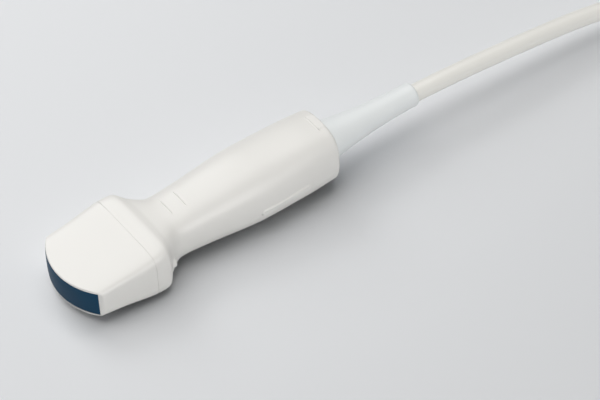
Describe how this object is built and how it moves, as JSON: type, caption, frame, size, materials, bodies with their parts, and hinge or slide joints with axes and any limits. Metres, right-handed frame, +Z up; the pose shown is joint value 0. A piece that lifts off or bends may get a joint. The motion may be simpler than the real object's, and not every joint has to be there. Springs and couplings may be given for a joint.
{
  "type": "ultrasound transducer probe",
  "caption": "Hand-held convex ultrasound probe: wide curved lens head, waisted oval handle, flared cable boot, coiled cable and a box connector with a quarter-turn lock.",
  "frame": {"origin": "on the table under the middle of the probe, from its lens to the end of its boot", "axes": "+X from the lens towards the cable, +Z up from the table, the orientation mark on -Y"},
  "size_m": [0.6512, 0.0565, 0.0524],
  "materials": {
    "lens_silicone": "satin",
    "matching_resin": "matte",
    "piezo_ceramic": "matte",
    "backing_resin": "matte",
    "white_housing": "satin",
    "seal_rubber": "matte",
    "frame_aluminium": "brushed",
    "screw_steel": "brushed",
    "board_laminate": "satin",
    "socket_plastic": "matte",
    "flex_film": "glossy",
    "coax_wires": "matte",
    "clamp_nylon": "matte",
    "boot_rubber": "matte",
    "cable_jacket": "satin",
    "tie_webbing": "matte",
    "contact_gold": "polished"
  },
  "bodies": {
    "probe": {"acoustic_lens": "lens_silicone", "outer_matching_layer": "matching_resin", "inner_matching_layer": "matching_resin", "piezo_array": "piezo_ceramic", "backing_block": "backing_resin", "nose_cover": "white_housing", "handle_upper_shell": "white_housing", "handle_lower_shell": "white_housing", "nose_seal": "seal_rubber", "array_carrier": "frame_aluminium", "chassis": "frame_aluminium", "carrier_screws": "screw_steel", "upper_board": "board_laminate", "lower_board": "board_laminate", "upper_board_socket": "socket_plastic", "lower_board_socket": "socket_plastic", "upper_flex_circuit": "flex_film", "lower_flex_circuit": "flex_film", "board_screws": "screw_steel", "upper_coax_fan": "coax_wires", "lower_coax_fan": "coax_wires", "upper_cable_clamp": "clamp_nylon", "lower_cable_clamp": "clamp_nylon", "clamp_screws": "screw_steel", "strain_relief": "boot_rubber", "cable": "cable_jacket", "cable_hank": "cable_jacket", "cable_tail": "cable_jacket", "cable_tie": "tie_webbing", "connector_base": "white_housing", "connector_shroud": "frame_aluminium", "connector_cover": "white_housing", "contact_block": "socket_plastic", "contacts": "contact_gold", "connector_board": "board_laminate", "connector_boot": "boot_rubber", "connector_clamp": "clamp_nylon", "connector_screws": "screw_steel"},
    "connector_lock": {"lock_shaft": "screw_steel", "lock_clip": "screw_steel", "lock_knob": "white_housing", "lock_screw": "screw_steel"}
  },
  "joints": [
    {"name": "connector_lock_turn", "type": "hinge", "parent": "probe", "child": "connector_lock", "pos_m": [0.523, 0.006, 0], "axis": [0, 0, 1], "range_deg": [0, 90]}
  ]
}
